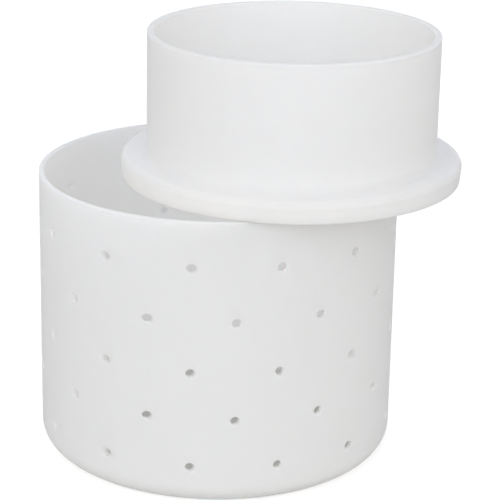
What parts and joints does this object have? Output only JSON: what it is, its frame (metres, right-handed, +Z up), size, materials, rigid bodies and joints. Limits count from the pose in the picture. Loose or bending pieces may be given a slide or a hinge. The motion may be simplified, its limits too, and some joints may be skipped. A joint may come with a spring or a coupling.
{
  "type": "cheese mold",
  "caption": "Round draining cup with staggered holes in its wall and floor, and a loose flanged follower with an open collar that presses the curd.",
  "frame": {"origin": "centre of the cup's underside, on the ground plane", "axes": "+Z up along the cup's axis, +X to the side that the follower is moved to, -Y to the front"},
  "size_m": [0.1927, 0.1671, 0.1988],
  "materials": {
    "mold_plastic": "natural white, satin, slightly translucent",
    "follower_plastic": "natural white, satin, slightly translucent"
  },
  "bodies": {
    "cup": {"mold": "mold_plastic"},
    "press_plate": {"follower": "follower_plastic"}
  },
  "joints": [
    {"name": "follower_lift", "type": "slide", "parent": "cup", "child": "press_plate", "axis": [0, 0, 1], "range_m": [0, 0.12]}
  ]
}
